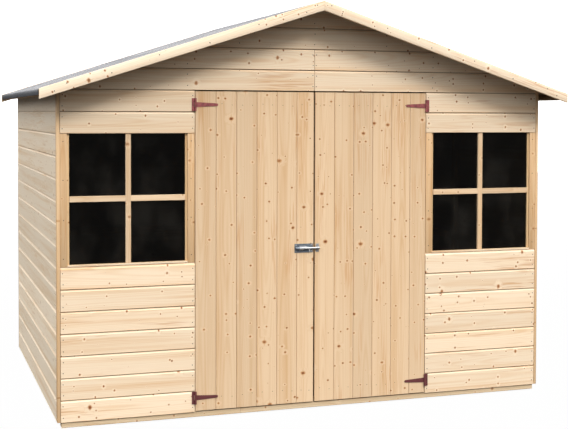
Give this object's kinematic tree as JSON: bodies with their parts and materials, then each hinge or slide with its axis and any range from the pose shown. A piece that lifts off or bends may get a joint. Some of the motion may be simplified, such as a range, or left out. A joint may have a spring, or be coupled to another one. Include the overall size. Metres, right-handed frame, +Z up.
{
  "type": "wooden garden shed",
  "caption": "Wooden garden shed with an apex felt roof, double doors on tee hinges, a sliding bolt and two front windows.",
  "frame": {"origin": "centre of the shed's footprint box, on the ground under the floor bearers", "axes": "+X to the right along the front, the front faces -Y, +Z up"},
  "size_m": [2.945, 2.336, 2.199],
  "materials": {
    "wall_boards": "satin pine with knots",
    "door_boards": "satin pine with knots",
    "trim_timber": "planed pine",
    "framing_timber": "sawn pine",
    "treated_bearers": "pale treated timber",
    "deck_boards": "planed pine",
    "window_glass": "clear pane, dark behind",
    "roof_felt": "mineral roofing felt",
    "hinge_paint": "dull red primer",
    "bolt_zinc": "bright zinc plate"
  },
  "bodies": {
    "shed": {"floor_bearers": "treated_bearers", "floor_deck": "deck_boards", "front_left_cladding": "wall_boards", "front_right_cladding": "wall_boards", "left_window_head_boards": "wall_boards", "right_window_head_boards": "wall_boards", "left_header_boards": "wall_boards", "right_header_boards": "wall_boards", "front_gable_boards": "wall_boards", "left_wall_cladding": "wall_boards", "right_wall_cladding": "wall_boards", "back_wall_cladding": "wall_boards", "front_left_frame": "framing_timber", "front_right_frame": "framing_timber", "front_gable_frame": "framing_timber", "left_wall_frame": "framing_timber", "right_wall_frame": "framing_timber", "back_wall_frame": "framing_timber", "left_corner_trim": "trim_timber", "right_corner_trim": "trim_timber", "left_window_frame": "trim_timber", "right_window_frame": "trim_timber", "left_window_glass": "window_glass", "right_window_glass": "window_glass", "left_hinge_plates": "hinge_paint", "right_hinge_plates": "hinge_paint", "ridge_beam": "framing_timber", "eaves_battens": "framing_timber", "left_roof_deck": "deck_boards", "right_roof_deck": "deck_boards", "left_roof_felt": "roof_felt", "right_roof_felt": "roof_felt", "front_left_bargeboard": "trim_timber", "front_right_bargeboard": "trim_timber", "back_left_bargeboard": "trim_timber", "back_right_bargeboard": "trim_timber"},
    "left_door": {"left_door_leaf": "door_boards", "left_door_ledges": "door_boards", "left_hinge_straps": "hinge_paint", "bolt_plate": "bolt_zinc"},
    "right_door": {"right_door_leaf": "door_boards", "right_door_ledges": "door_boards", "right_hinge_straps": "hinge_paint", "bolt_keeper": "bolt_zinc"},
    "bolt": {"bolt_rod": "bolt_zinc"}
  },
  "joints": [
    {"name": "left_door_hinge", "type": "hinge", "parent": "shed", "child": "left_door", "pos_m": [-0.659, -1.0148, 0.9], "axis": [0, 0, -1], "range_deg": [0, 170]},
    {"name": "right_door_hinge", "type": "hinge", "parent": "shed", "child": "right_door", "pos_m": [0.659, -1.0148, 0.9], "axis": [0, 0, 1], "range_deg": [0, 170]},
    {"name": "bolt_slide", "type": "slide", "parent": "left_door", "child": "bolt", "axis": [-1, 0, 0], "range_m": [0, 0.028]}
  ]
}
